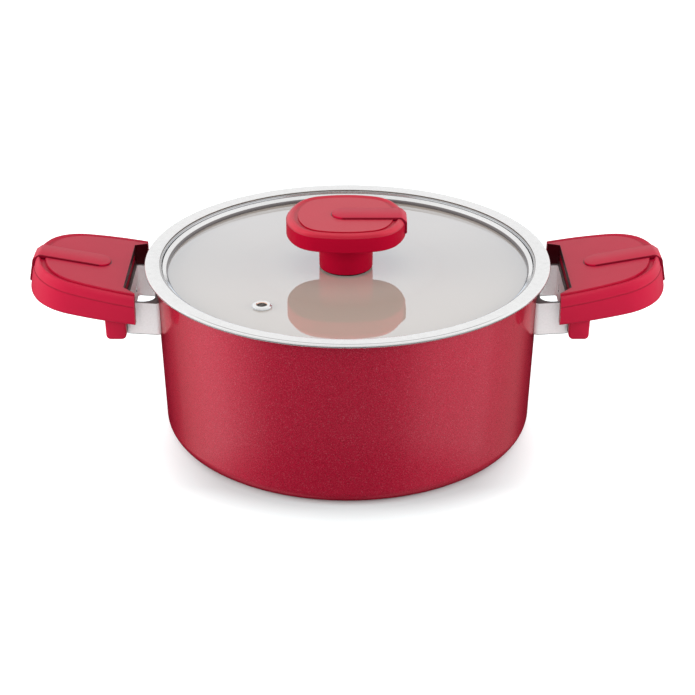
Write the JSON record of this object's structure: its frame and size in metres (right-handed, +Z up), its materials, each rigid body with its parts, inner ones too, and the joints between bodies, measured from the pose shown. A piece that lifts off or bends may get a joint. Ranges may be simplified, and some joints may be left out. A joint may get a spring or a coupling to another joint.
{
  "type": "stock pot",
  "caption": "Low round stock pot in metallic red with two looped side handles and a steel-rimmed glass lid with an oval knob.",
  "frame": {"origin": "centre of the pot's underside, on the surface it stands on", "axes": "+Z up out of the pot's mouth, +X along the line through both handles, away from the steam vent's side; +Y to the back, the vent is to the front"},
  "size_m": [0.339, 0.216, 0.1204],
  "materials": {
    "red_lacquer": "glossy metallic",
    "brushed_disc": "circular brushed",
    "polished_steel": "satin polished",
    "red_grip": "soft satin",
    "red_strip": "matte",
    "screw_steel": "satin",
    "clear_glass": "clear, lightly smoked",
    "dark_silicone": "matte",
    "brass_insert": "plain"
  },
  "bodies": {
    "pot": {"pot_body": "red_lacquer", "base_disc": "brushed_disc", "left_bracket": "polished_steel", "left_bracket_rivets": "polished_steel", "left_bracket_boss": "polished_steel", "left_grip": "red_grip", "left_grip_strip": "red_strip", "left_grip_screw": "screw_steel", "right_bracket": "polished_steel", "right_bracket_rivets": "polished_steel", "right_bracket_boss": "polished_steel", "right_grip": "red_grip", "right_grip_strip": "red_strip", "right_grip_screw": "screw_steel"},
    "lid": {"lid_rim": "polished_steel", "lid_glass": "clear_glass", "vent_eyelet": "polished_steel", "vent_washer": "dark_silicone", "knob_head": "red_grip", "knob_strip": "red_strip", "knob_stem": "red_grip", "knob_gasket": "dark_silicone", "knob_insert": "brass_insert", "knob_lower_gasket": "dark_silicone", "knob_washer": "screw_steel", "knob_screw": "screw_steel"}
  },
  "joints": [
    {"name": "lid_lift", "type": "slide", "parent": "pot", "child": "lid", "axis": [0, 0, 1], "range_m": [0, 0.15]}
  ]
}
